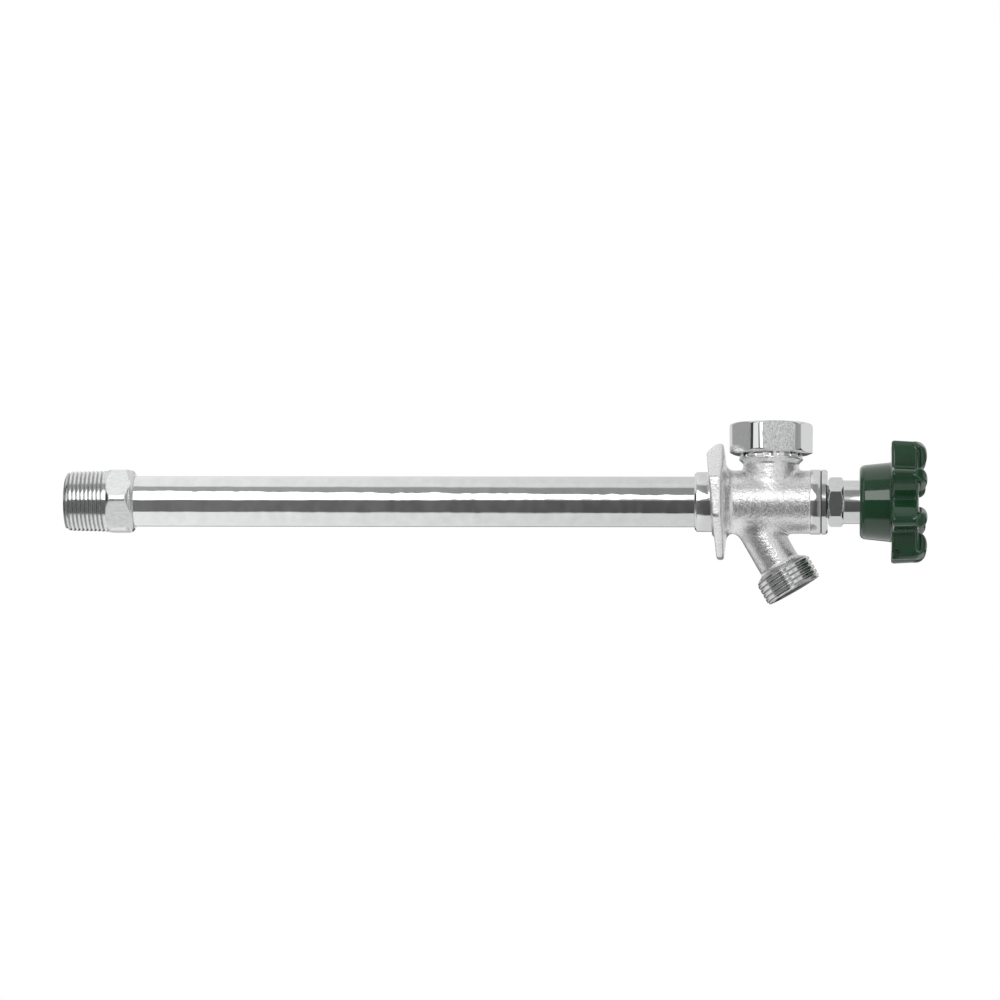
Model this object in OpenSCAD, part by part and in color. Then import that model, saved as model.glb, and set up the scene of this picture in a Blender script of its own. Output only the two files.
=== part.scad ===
// Frost free sillcock with a vacuum breaker, a handwheel and a long supply tube.
// Millimetres. +X runs out of the wall to the handwheel, +Z is up.
// The origin is on the tube's axis, in the middle of the wall flange's screw holes.

/* [Supply tube] */
// Outside diameter of the supply tube
tube_od = 22.2; // [20:0.1:24]
// Wall of the supply tube
tube_wall = 1.15; // [0.8:0.05:1.6]
// Distance from the wall flange to the inlet's end
reach = 285; // [180:1:420]

/* [Inlet fitting] */
// Crest diameter of the pipe thread at its small end
pipe_thread_d = 26; // [25:0.1:27]
// Length of the pipe thread
pipe_thread_len = 18.8; // [14:0.1:22]
// Pitch of the pipe thread
pipe_pitch = 1.814; // [1.5:0.001:2.2]
// Width across the flats of the inlet's hexagon
inlet_hex_af = 27; // [26.8:0.1:32]
// Length of the inlet's hexagon
inlet_hex_len = 9.6; // [7:0.1:14]
// Length of the round collar behind the hexagon
inlet_collar_len = 4.2; // [2.5:0.1:6]
// Diameter of the solder socket for the supply pipe
pipe_socket_d = 15.96; // [15.9:0.01:16.2]
// Depth of the solder socket
pipe_socket_depth = 12.7; // [8:0.1:13]
// Diameter of the valve seat's opening
seat_bore_d = 11.6; // [9:0.1:12.4]
// Distance from the seat's lip back to the pipe thread's small end
seat_setback = 21; // [19:0.1:24]

/* [Body] */
// Outside diameter of the cast barrel
barrel_od = 27.7; // [26.6:0.1:30]
// Bore of the barrel
barrel_bore_d = 20; // [19:0.1:21]
// Length of the cast barrel, from the wall flange
barrel_len = 43.3; // [41:0.1:50]
// Outside diameter of the shank that holds the supply tube
shank_od = 26.2; // [25.4:0.1:28]
// Length of the shank behind the wall flange
shank_len = 7.3; // [5:0.1:12]
// Diameter of the turned collar at the barrel's end
collar_d = 28.4; // [28:0.1:31]
// Length of the turned collar
collar_len = 4.6; // [3:0.1:7]

/* [Wall flange] */
// Height of the wall flange
flange_h = 50; // [44:1:60]
// Width of the wall flange
flange_w = 60; // [54:1:70]
// Thickness of the flange's rim at the height of the tube
flange_rim = 5; // [3.2:0.1:6]
// Thickness that the front adds between the rim and the barrel
flange_dish = 1.8; // [1:0.1:4]
// Lean of the wall face, which makes the tube drain to the outside, in degrees
flange_lean = 5.4; // [3:0.1:6]
// Chamfer at the top of the wall face
flange_chamfer = 4.6; // [2:0.1:4.6]
// Distance between the two screw holes
screw_spacing = 43; // [41:0.5:46]
// Diameter of the screw holes
screw_hole_d = 5.6; // [4.5:0.1:6.5]

/* [Spout] */
// Distance from the origin to the spout's root on the barrel's axis
spout_x = 13.4; // [12:0.1:15]
// Angle between the spout and straight down, in degrees
spout_lean = 30; // [26:1:34]
// Length of the spout from the barrel's axis
spout_len = 45.1; // [42:0.1:55]
// Outside diameter of the spout
spout_od = 18.3; // [17.6:0.1:20]
// Bore of the spout
spout_bore_d = 13; // [11:0.1:14]
// Crest diameter of the hose thread
hose_thread_d = 26.99; // [26.5:0.01:27.2]
// Length of the hose thread
hose_thread_len = 10.2; // [9:0.1:14]
// Pitch of the hose thread
hose_pitch = 2.209; // [2:0.001:2.4]
// Bore of the spout's mouth
mouth_bore_d = 17.2; // [16:0.1:18.4]
// Depth of the wide mouth
mouth_depth = 9; // [6:0.1:10]

/* [Vacuum breaker] */
// Distance from the origin to the breaker's axis
neck_x = 26.2; // [25.5:0.1:27.5]
// Outside diameter of the neck
neck_od = 24.6; // [24.2:0.1:26]
// Diameter of the lip under the cap
lip_d = 28; // [27.6:0.1:30]
// Height of the lip's underside above the tube's axis
lip_z = 18.4; // [18:0.1:20]
// Thickness of the lip
lip_t = 1.1; // [0.8:0.1:1.5]
// Number of vent teeth on the lip
vent_teeth = 12; // [8:1:16]
// Width of a vent tooth
tooth_w = 2.9; // [2:0.1:3.4]
// Height of a vent tooth
tooth_h = 1.4; // [1:0.1:2]
// Height of the neck above the teeth
neck_top = 8; // [7.6:0.1:9]
// Bore of the breaker's chamber
chamber_d = 19.4; // [18.6:0.1:20]
// Width across the flats of the cap
cap_af = 32.2; // [31.4:0.1:35]
// Height of the cap
cap_h = 13.5; // [13.4:0.1:17]
// Turn of the cap's flats about its own axis, in degrees
cap_turn = 10.4; // [0:0.1:59]
// Diameter of the float's disc
float_d = 17; // [16:0.1:17.6]
// Diameter of the float's guide stem
float_stem_d = 4; // [3:0.1:4.6]
// Lift of the float
float_lift = 1.6; // [1:0.1:1.8]

/* [Bonnet and packing] */
// Thickness of the bonnet's flange
bonnet_flange_t = 2.6; // [2:0.1:4]
// Thickness of the bonnet's gasket
gasket_t = 0.5; // [0.4:0.1:1]
// Diameter of the bonnet's neck, inside the packing nut
bonnet_neck_d = 15; // [14:0.1:15.4]
// Width across the flats of the packing nut
nut_af = 19.05; // [19:0.05:21]
// Length of the packing nut's hexagon
nut_hex_len = 6.6; // [5:0.1:9]
// Diameter of the packing nut's round nose
nose_d = 19; // [17.6:0.1:19]
// Length of the round nose
nose_len = 8.6; // [8:0.1:10]
// Turn of the packing nut's flats about the stem, in degrees
nut_turn = 6; // [0:1:59]
// Thickness of the packing
packing_t = 4; // [3:0.1:4.4]

/* [Stem and rod] */
// Diameter of the stem where it runs in the packing
stem_d = 9.5; // [9:0.1:10]
// Crest diameter of the stem's driving thread
drive_thread_d = 12.4; // [11.6:0.1:12.8]
// Pitch of the driving thread, the stem's travel in one turn
drive_pitch = 3.175; // [2.5:0.005:3.2]
// Turns of the handwheel from closed to open
open_turns = 1.5; // [1:0.25:1.5]
// Diameter of the long rod
rod_d = 6; // [5:0.1:6.4]
// Width across the flats of the stem's square end
square_af = 6.4; // [6:0.1:6.6]
// Number of guides on the rod
rod_guides = 2; // [1:1:3]

/* [Seat washer] */
// Diameter of the seat washer
washer_d = 15.6; // [15:0.1:16]
// Thickness of the seat washer
washer_t = 3.2; // [2.5:0.1:4]

/* [Handwheel] */
// Diameter of the hub at its back
hub_back_d = 32.1; // [30:0.1:34]
// Diameter of the hub where it meets the wheel
hub_front_d = 35; // [34:0.1:37]
// Length of the hub
hub_len = 13.9; // [12:0.1:17]
// Thickness of the wheel between its lobes
wheel_t = 11.6; // [10:0.1:14]
// Diameter of the wheel between its lobes
wheel_d = 40.8; // [39:0.1:44]
// Number of lobes
lobes = 8; // [6:1:8]
// Radius of the circle through the lobes' centres
lobe_circle_r = 22.2; // [21.6:0.1:24]
// Radius of a lobe
lobe_r = 6.1; // [5.6:0.1:6.6]
// Depth of the dish in the wheel's front
dish_depth = 4.2; // [3:0.1:5]
// Diameter of the dish in the wheel's front
dish_d = 30; // [26:0.1:31]

/* [Hidden] */
$fn = 72;
// Gap of a screwed, soldered or pressed joint, to each side
joint_gap = 0.05;
// Gap of a running fit, to each side
run_gap = 0.06;
// Gap between a moving face and the face it closes on
close_gap = 0.15;
// Reach of a cutting tool past the face that it cuts
past = 1;
// Depth that a fused form sinks into the one that carries it
weld = 0.4;
// Reach of a conical cut past its face
cone_past = 0.01;
// Slope of a hexagon's turned-off corners
corner_slope = 0.8;

// Lists shared by the pieces

// Tube and inlet
tube_bore_d = tube_od - 2 * tube_wall;
inlet_x = -reach;
seat_x = inlet_x + seat_setback;
seat_lip_h = 1.6;
seat_lip_w = 1.3;
hex_x = inlet_x + pipe_thread_len;
collar_x = hex_x + inlet_hex_len;
fitting_end_x = collar_x + inlet_collar_len;
tube_stop = 2.2;
tube_start_x = seat_x + tube_stop;
pipe_taper = 1 / 32;
pipe_thread_h = 0.8 * pipe_pitch;
inlet_hex_turn = 30;
inlet_hex_chamfer = 1;
inlet_corner_cut = 1.09;
collar_cone_len = 1.8;
collar_tip_wall = 1.1;

// Body
tube_end_x = 2;
collar_end_x = barrel_len + collar_len;
plug_bore_d = barrel_bore_d + 2;
plug_len = 11;
plug_x = collar_end_x - plug_len;
flange_flat_w = 9;
flange_flat_h = 8.9;
dish_margin = 0.7;
dish_step = 0.8;
hose_thread_h = 1.36;
mouth_chamfer = 0.9;
flare_len = 2.4;
flare_step = 0.3;

// Vacuum breaker
teeth_z = lip_z + lip_t;
cap_z = teeth_z + tooth_h;
neck_top_z = cap_z + neck_top;
neck_thread_d = neck_od + 1;
neck_thread_h = 0.6;
lip_cone_h = 1.4;
tooth_margin = 0.2;
teeth_turn = -70;
chamber_z = 14.6;
passage_d = 13;
seat_ring_t = 1.6;
breaker_seat_d = 11;
float_z = chamber_z + seat_ring_t + close_gap;
float_t = 2;
seal_t = 1.6;
seal_z = float_z + float_t;
seal_d = float_d - 1.4;
seal_hub_d = float_stem_d + 2.4;
cap_gasket_t = 1.2;
cap_ceiling_z = neck_top_z + cap_gasket_t;
cap_seat_z = seal_z + seal_t + float_lift + close_gap;
cap_seat_w = 1.2;
cap_seat_d = seal_d - 3;
cap_boss_d = float_stem_d + 3.4;
cap_boss_z = cap_seat_z + 0.6;
cap_top_z = cap_z + cap_h;
vent_hole_d = tooth_h - 0.4;
float_stem_top_z = cap_ceiling_z - float_lift + 1;
guide_room = 0.6;
cap_corner_cut = 1.11;
cap_chamfer = 1.3;
cap_dish = 0.9;
cap_rim = 2.4;
cap_rim_slope = 0.6;
gasket_room = 0.3;

// Bonnet and packing
gasket_x = collar_end_x;
flange_x = gasket_x + gasket_t;
nut_x = flange_x + bonnet_flange_t + 0.3;
nose_x = nut_x + nut_hex_len;
nut_end_x = nose_x + nose_len;
nut_wall = 1.8;
washer_ring_t = 1;
packing_x = nut_end_x - nut_wall - packing_t;
packing_washer_x = packing_x - washer_ring_t;
bonnet_end_x = packing_washer_x;
bonnet_nose_x = plug_x - 2;
bonnet_thread_h = 0.7;
bonnet_neck_thread_h = 0.5;
bonnet_neck_pitch = 1.27;
bonnet_chamfer = 0.8;
plug_room = 1;
nut_corner_cut = 1.14;
nut_chamfer = 0.9;
nose_chamfer = 0.8;
packing_room = 0.1;
drive_thread_h = 0.9;

// Stem and rod
open_travel = drive_pitch * open_turns;
holder_wall = 0.8;
holder_d = washer_d + 2 * joint_gap + 2 * holder_wall;
washer_x = seat_x + close_gap;
holder_x = washer_x + 0.9;
web_x = washer_x + washer_t;
web_t = 4;
swivel_x = web_x + web_t;
swivel_len = 3;
swivel_lip = 1.4;
button_d = rod_d + 2;
swivel_wall = 2;
swivel_d = button_d + 2 * swivel_wall;
button_t = 2.4;
button_room = 0.3;
button_x = swivel_x + button_room;
holder_end_x = swivel_x + swivel_len + swivel_lip;
drive_len = 14;
drive_x = bonnet_nose_x - open_travel + 1;
stem_tail = 13;
stem_tail_x = drive_x - stem_tail;
stem_tail_d = rod_d + 4;
rod_end_x = drive_x - 2;
stem_pin_d = 2.4;
stem_pin_back = 6;
stem_pin_x = drive_x - stem_pin_back;
ring_w = 1.8;
ring_depth = 1.2;
ring_land = 0.8;
ring_room = 0.2;
ring_places = [
    for (i = [0 : 1]) drive_x + drive_len + 1.6 + i * (ring_w + ring_land)
];
guide_len = 10;
guide_arm_w = 2;
guide_wall = 1.5;
guide_play = 0.4;
washer_screw_head_d = 8;
washer_screw_head_t = 1.8;
washer_screw_sink = 0.6;

// Handwheel
hub_x = nut_end_x - 1.6;
wheel_x = hub_x + hub_len;
wheel_end_x = wheel_x + wheel_t;
recess_d = nose_d + 1.6;
recess_len = 4.6;
square_x = hub_x + recess_len;
boss_end_x = wheel_end_x - dish_depth + 0.8;
boss_d = 13;
square_end_x = boss_end_x - 0.6;
square_room = 0.05;
lobe_rise = 4.4;
lobe_tip_x = wheel_end_x + lobe_rise;
lobe_turn = 180 / lobes;
finger_r = 3.3;
finger_inset = 0.8;
wheel_points = 96;
wave_flat = 0.05;
notch_r = 1.8;
notch_floor = 2;
notch_back = 1.2;
notch_low = lobe_circle_r * cos(lobe_turn) + lobe_r / 2;
notch_side = lobe_circle_r * sin(lobe_turn);
screw_head_d = 9;
screw_head_t = 3;
screw_head_cone = 1.2;
screw_slot_l = 5.2;
screw_slot_w = 1;
screw_slot_h = 1.6;
hub_round = 1.4;
dish_slope = 1.5;
screw_d = 4;
screw_len = 10;
handle_washer_t = 0.9;
handle_washer_d = 11;

// A cylinder along X from x, with its length and diameter
module rod_x(x, len, d) {
    translate([x, 0, 0]) rotate([0, 90, 0]) cylinder(h = len, d = d);
}

// A cone along X from x, with its length and its two diameters
module cone_x(x, len, d1, d2) {
    translate([x, 0, 0]) rotate([0, 90, 0]) cylinder(h = len, d1 = d1, d2 = d2);
}

// A hexagonal bar along Z with both ends' corners turned off
module hex_bar(len, af, turn, chamfer, corner_cut) {
    corner_r = af / 2 * corner_cut;
    intersection() {
        rotate([0, 0, turn]) cylinder(h = len, r = af / 2 / cos(30), $fn = 6);
        rotate_extrude() polygon([
            [0, 0], [corner_r - chamfer, 0], [corner_r, chamfer * corner_slope],
            [corner_r, len - chamfer * corner_slope], [corner_r - chamfer, len], [0, len]
        ]);
    }
}

// Outline points of thread ridges along Z: flats of an eighth of the pitch at crest and root
function ridges(len, crest_r, depth, pitch, taper) = [
    for (i = [0 : floor(len / pitch) - 1])
        for (step = [[0.06, 1], [0.44, 0], [0.56, 0], [0.94, 1]])
            let (z = (i + step[0]) * pitch)
                [crest_r + z * taper - step[1] * depth, z]
];

// A threaded bar along Z, with ridges that are rings
module threaded_bar(len, crest_d, depth, pitch, taper = 0) {
    root_r = crest_d / 2 - depth;
    rotate_extrude() polygon(concat(
        [[0, 0], [root_r, 0]],
        ridges(len, crest_d / 2, depth, pitch, taper),
        [[root_r + len * taper, len], [0, len]]
    ));
}

// Turns a shape drawn along Z to lie along X, from x
module along_x(x) {
    translate([x, 0, 0]) rotate([0, 90, 0]) children();
}

// Turns a shape drawn along Z to lie along the spout, from its root
module along_spout() {
    translate([spout_x, 0, 0]) rotate([0, 180 - spout_lean, 0]) children();
}

// Outline of the wall flange, drawn with the height along X and the width along Y
module flange_outline() {
    half_h = flange_h / 2;
    half_w = flange_w / 2;
    polygon([
        [half_h, flange_flat_w], [flange_flat_h, half_w],
        [-flange_flat_h, half_w], [-half_h, flange_flat_w],
        [-half_h, -flange_flat_w], [-flange_flat_h, -half_w],
        [flange_flat_h, -half_w], [half_h, -flange_flat_w]
    ]);
}

// Side outline of the wall flange: a wedge, thicker at the top, with a chamfered top
module flange_side() {
    half_h = flange_h / 2;
    slope = tan(flange_lean);
    chamfer_z = half_h - flange_chamfer;
    polygon([
        [half_h * slope, -half_h], [-chamfer_z * slope, chamfer_z],
        [flange_chamfer - half_h * slope, half_h],
        [flange_rim + flange_dish, half_h], [flange_rim + flange_dish, -half_h]
    ]);
}

module wall_flange() {
    intersection() {
        along_x(-flange_h / 4) linear_extrude(flange_h / 2) flange_outline();
        rotate([90, 0, 0])
            translate([0, 0, -flange_w]) linear_extrude(2 * flange_w) flange_side();
        union() {
            rod_x(-flange_h / 4, flange_h / 4 + flange_rim, 2 * flange_w);
            cone_x(flange_rim, flange_dish,
                flange_w - 2 * dish_margin, barrel_od + 2 * dish_step);
        }
    }
}

module spout_solid() {
    thread_start = spout_len - hose_thread_len;
    along_spout() {
        cylinder(h = thread_start, d = spout_od);
        translate([0, 0, thread_start - flare_len])
            cylinder(h = flare_len, d1 = spout_od + 2 * flare_step,
                d2 = hose_thread_d - 2 * hose_thread_h);
        translate([0, 0, thread_start])
            threaded_bar(hose_thread_len, hose_thread_d, hose_thread_h, hose_pitch);
    }
}

module vent_teeth_ring() {
    translate([neck_x, 0, teeth_z]) for (i = [0 : vent_teeth - 1])
        rotate([0, 0, 360 / vent_teeth * i + teeth_turn])
            translate([neck_od / 2 - weld, -tooth_w / 2, -weld])
                cube([(lip_d - neck_od) / 2 + weld - tooth_margin, tooth_w, tooth_h + weld]);
}

module neck_solid() {
    translate([neck_x, 0, 0]) {
        cylinder(h = cap_z, d = neck_od);
        translate([0, 0, lip_z - lip_cone_h])
            cylinder(h = lip_cone_h, d1 = neck_od, d2 = lip_d);
        translate([0, 0, lip_z]) cylinder(h = lip_t, d = lip_d);
        translate([0, 0, cap_z])
            threaded_bar(neck_top, neck_thread_d, neck_thread_h, pipe_pitch);
    }
    vent_teeth_ring();
}

module neck_bores() {
    translate([neck_x, 0, 0]) {
        cylinder(h = neck_top_z, d = passage_d);
        translate([0, 0, chamber_z]) cylinder(h = neck_top_z, d = chamber_d);
        for (i = [0 : vent_teeth / 2 - 1])
            rotate([0, 0, 720 / vent_teeth * i + teeth_turn + 180 / vent_teeth])
                translate([0, 0, teeth_z + tooth_h / 2])
                    rotate([0, 90, 0]) cylinder(h = neck_od / 2 + past, d = vent_hole_d);
    }
}

module faucet_body() {
    color("gainsboro") difference() {
        union() {
            rod_x(-shank_len, shank_len + flange_rim, shank_od);
            wall_flange();
            rod_x(flange_rim / 2, barrel_len - flange_rim / 2, barrel_od);
            rod_x(barrel_len, collar_len, collar_d);
            neck_solid();
            spout_solid();
        }
        rod_x(-shank_len - past, shank_len + tube_end_x + past, tube_od + 2 * joint_gap);
        rod_x(0, collar_end_x + past, barrel_bore_d);
        rod_x(plug_x, plug_len + past, plug_bore_d);
        neck_bores();
        along_spout() cylinder(h = spout_len + past, d = spout_bore_d);
        along_spout() translate([0, 0, spout_len - mouth_depth])
            cylinder(h = mouth_depth + past, d = mouth_bore_d);
        along_spout() translate([0, 0, spout_len - mouth_chamfer])
            cylinder(h = mouth_chamfer + cone_past,
                d1 = mouth_bore_d, d2 = mouth_bore_d + 2 * mouth_chamfer);
        for (side = [-1, 1])
            translate([0, side * screw_spacing / 2, 0])
                rod_x(-flange_h / 4, flange_h / 2, screw_hole_d);
    }
}

module supply_tube() {
    color("whitesmoke") difference() {
        rod_x(tube_start_x, tube_end_x - tube_start_x, tube_od);
        rod_x(tube_start_x - past, tube_end_x - tube_start_x + 2 * past, tube_bore_d);
    }
}

module inlet_fitting() {
    color("lightgray") difference() {
        union() {
            along_x(inlet_x)
                threaded_bar(pipe_thread_len, pipe_thread_d, pipe_thread_h, pipe_pitch, pipe_taper);
            along_x(hex_x) hex_bar(
                inlet_hex_len, inlet_hex_af, inlet_hex_turn, inlet_hex_chamfer, inlet_corner_cut);
            rod_x(collar_x - weld, fitting_end_x - collar_cone_len - collar_x + weld, inlet_hex_af);
            cone_x(fitting_end_x - collar_cone_len, collar_cone_len,
                inlet_hex_af, tube_od + 2 * collar_tip_wall);
        }
        rod_x(inlet_x - past, pipe_socket_depth + past, pipe_socket_d);
        rod_x(inlet_x, seat_setback + past, seat_bore_d);
        difference() {
            rod_x(seat_x - seat_lip_h, seat_lip_h + tube_stop, tube_bore_d);
            rod_x(seat_x - seat_lip_h - past, seat_lip_h + past, seat_bore_d + 2 * seat_lip_w);
        }
        rod_x(tube_start_x, fitting_end_x - tube_start_x + past, tube_od + 2 * joint_gap);
    }
}

module bonnet() {
    drive_bore_d = drive_thread_d + 2 * run_gap;
    color("silver") difference() {
        union() {
            along_x(plug_x + plug_room)
                threaded_bar(flange_x - plug_x - plug_room,
                    plug_bore_d - 2 * joint_gap, bonnet_thread_h, pipe_pitch);
            rod_x(bonnet_nose_x, plug_x + plug_room - bonnet_nose_x + weld,
                barrel_bore_d - 2 * plug_room);
            rod_x(flange_x, bonnet_flange_t - bonnet_chamfer, collar_d);
            cone_x(flange_x + bonnet_flange_t - bonnet_chamfer, bonnet_chamfer,
                collar_d, collar_d - 2 * bonnet_chamfer);
            along_x(flange_x) threaded_bar(bonnet_end_x - flange_x,
                bonnet_neck_d, bonnet_neck_thread_h, bonnet_neck_pitch);
        }
        rod_x(bonnet_nose_x - past, bonnet_end_x - bonnet_nose_x + 2 * past, drive_bore_d);
    }
}

module bonnet_gasket() {
    color("dimgray") difference() {
        rod_x(gasket_x, gasket_t, collar_d - 2 * weld);
        rod_x(gasket_x - past, gasket_t + 2 * past, plug_bore_d + 2 * packing_room);
    }
}

// A flat ring along X
module ring_x(x, len, outer_d, inner_d) {
    difference() {
        rod_x(x, len, outer_d);
        rod_x(x - past, len + 2 * past, inner_d);
    }
}

module packing_washer() {
    color("goldenrod")
        ring_x(packing_washer_x, washer_ring_t,
            bonnet_neck_d - 2 * packing_room, stem_d + 2 * run_gap);
}

module packing() {
    color("darkslategray")
        ring_x(packing_x, packing_t, bonnet_neck_d - 2 * packing_room, stem_d + 2 * run_gap);
}

module packing_nut() {
    color("silver") difference() {
        union() {
            along_x(nut_x) hex_bar(nut_hex_len, nut_af, nut_turn, nut_chamfer, nut_corner_cut);
            rod_x(nose_x - weld, nose_len - nose_chamfer + weld, nose_d);
            cone_x(nut_end_x - nose_chamfer, nose_chamfer, nose_d, nose_d - 2 * nose_chamfer);
        }
        rod_x(nut_x - past, nut_end_x - nut_wall - nut_x + past, bonnet_neck_d + 2 * joint_gap);
        rod_x(nut_x, nut_end_x - nut_x + past, stem_d + 2 * run_gap);
    }
}

module breaker_seat() {
    color("ivory") translate([neck_x, 0, chamber_z]) difference() {
        cylinder(h = seat_ring_t, d = chamber_d - 2 * joint_gap);
        translate([0, 0, -past]) cylinder(h = seat_ring_t + 2 * past, d = breaker_seat_d);
    }
}

module breaker_cap() {
    cap_bore_d = neck_thread_d + 2 * joint_gap;
    guide_top_z = float_stem_top_z + float_lift + guide_room;
    color("silver") translate([neck_x, 0, 0]) difference() {
        union() {
            difference() {
                translate([0, 0, cap_z])
                    hex_bar(cap_h, cap_af, cap_turn, cap_chamfer, cap_corner_cut);
                translate([0, 0, cap_z - past])
                    cylinder(h = cap_ceiling_z - cap_z + past, d = cap_bore_d);
                translate([0, 0, cap_top_z - cap_dish])
                    cylinder(h = cap_dish + past, d1 = cap_af - 2 * (cap_rim + cap_rim_slope),
                        d2 = cap_af - 2 * cap_rim);
            }
            difference() {
                translate([0, 0, cap_seat_z])
                    cylinder(h = cap_ceiling_z - cap_seat_z + weld, d = cap_seat_d + 2 * cap_seat_w);
                translate([0, 0, cap_seat_z - past])
                    cylinder(h = cap_ceiling_z - cap_seat_z + past, d = cap_seat_d);
            }
            translate([0, 0, cap_boss_z])
                cylinder(h = cap_ceiling_z - cap_boss_z + weld, d = cap_boss_d);
        }
        translate([0, 0, cap_boss_z - past])
            cylinder(h = guide_top_z - cap_boss_z + past, d = float_stem_d + 2 * run_gap);
    }
}

module cap_gasket() {
    color("dimgray") translate([neck_x, 0, neck_top_z]) difference() {
        cylinder(h = cap_gasket_t, d = neck_thread_d - 2 * gasket_room);
        translate([0, 0, -past]) cylinder(h = cap_gasket_t + 2 * past, d = chamber_d);
    }
}

module breaker_float() {
    color("ivory") translate([neck_x, 0, 0]) {
        translate([0, 0, float_z]) cylinder(h = float_t, d = float_d);
        translate([0, 0, seal_z - weld]) cylinder(h = seal_t, d = seal_hub_d);
        translate([0, 0, float_z])
            cylinder(h = float_stem_top_z - float_z, d = float_stem_d);
    }
}

module float_seal() {
    color("dimgray") translate([neck_x, 0, seal_z]) difference() {
        cylinder(h = seal_t, d = seal_d);
        translate([0, 0, -past]) cylinder(h = seal_t + 2 * past, d = seal_hub_d + 2 * joint_gap);
    }
}

module washer_holder() {
    color("goldenrod") difference() {
        union() {
            rod_x(holder_x, web_x - holder_x + web_t, holder_d);
            rod_x(web_x, holder_end_x - web_x, swivel_d);
        }
        rod_x(holder_x - past, web_x - holder_x + past, washer_d + 2 * joint_gap);
        rod_x(web_x - past, web_t - washer_screw_sink + past, screw_d + 2 * joint_gap);
        rod_x(swivel_x, swivel_len, button_d + 2 * button_room);
        rod_x(swivel_x, holder_end_x - swivel_x + past, rod_d + 2 * run_gap);
    }
}

module seat_washer() {
    color("dimgray") ring_x(washer_x, washer_t, washer_d, screw_d + 2 * joint_gap);
}

module washer_screw() {
    color("goldenrod") union() {
        rod_x(washer_x - washer_screw_head_t, washer_screw_head_t, washer_screw_head_d);
        rod_x(washer_x - weld, washer_t + web_t - washer_screw_sink, screw_d);
    }
}

module rod() {
    color("goldenrod") difference() {
        union() {
            rod_x(button_x, button_t, button_d);
            rod_x(button_x, rod_end_x - button_x, rod_d);
        }
        translate([stem_pin_x, 0, -rod_d])
            cylinder(h = 2 * rod_d, d = stem_pin_d + 2 * joint_gap);
    }
}

// Spacer rings on the rod, with room for the water to pass them
module rod_guide_rings() {
    guide_d = tube_bore_d - 2 * guide_play;
    span = stem_tail_x - holder_end_x;
    color("ivory") for (i = [1 : rod_guides]) {
        x = holder_end_x + span * i / (rod_guides + 1);
        difference() {
            union() {
                rod_x(x, guide_len, rod_d + 2 * guide_wall);
                intersection() {
                    rod_x(x, guide_len, guide_d);
                    for (arm = [0 : 2])
                        rotate([120 * arm, 0, 0])
                            translate([x, -guide_arm_w / 2, 0])
                                cube([guide_len, guide_arm_w, guide_d]);
                }
            }
            rod_x(x - past, guide_len + 2 * past, rod_d + 2 * joint_gap);
        }
    }
}

module stem() {
    color("goldenrod") difference() {
        union() {
            rod_x(stem_tail_x, stem_tail + weld, stem_tail_d);
            along_x(drive_x)
                threaded_bar(drive_len, drive_thread_d, drive_thread_h, drive_pitch);
            rod_x(drive_x + drive_len - weld, square_x - drive_x - drive_len + weld, stem_d);
            translate([square_x - weld, -square_af / 2, -square_af / 2])
                cube([square_end_x - square_x + weld, square_af, square_af]);
        }
        rod_x(stem_tail_x - past, rod_end_x - stem_tail_x + past + button_room,
            rod_d + 2 * joint_gap);
        rod_x(square_end_x - screw_len, screw_len + past, screw_d + 2 * joint_gap);
        translate([stem_pin_x, 0, -stem_tail_d])
            cylinder(h = 2 * stem_tail_d, d = stem_pin_d + 2 * joint_gap);
        for (x = ring_places)
            ring_x(x, ring_w, stem_d + past, stem_d - 2 * ring_depth);
    }
}

module stem_pin() {
    color("silver") translate([stem_pin_x, 0, -stem_tail_d / 2])
        cylinder(h = stem_tail_d, d = stem_pin_d);
}

module stem_rings() {
    color("dimgray") for (x = ring_places)
        ring_x(x + joint_gap, ring_w - 2 * joint_gap,
            drive_thread_d - 2 * ring_room, stem_d - 2 * ring_depth + 2 * joint_gap);
}

// Outline of the wheel: a wave with a crest at each lobe
module wheel_outline() {
    valley_r = wheel_d / 2;
    half_wave = (lobe_circle_r + lobe_r - valley_r) / 2;
    polygon([
        for (i = [0 : wheel_points - 1])
            let (turn = 360 / wheel_points * i, wave = lobes * (turn - lobe_turn))
                (valley_r + half_wave
                    + half_wave / (1 + wave_flat) * (cos(wave) + wave_flat * cos(3 * wave)))
                    * [cos(turn), sin(turn)]
    ]);
}

// Domed front of a lobe: a long ridge that runs out from the dish to the rim
module finger() {
    intersection() {
        translate([0, finger_r + past, lobe_tip_x - wheel_x - lobe_r])
            rotate([90, 0, 0]) cylinder(h = 2 * (finger_r + past), r = lobe_r);
        translate([-lobe_r - past, 0, lobe_tip_x - wheel_x - finger_r])
            rotate([0, 90, 0]) cylinder(h = 2 * (lobe_r + past), r = finger_r);
    }
}

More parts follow.
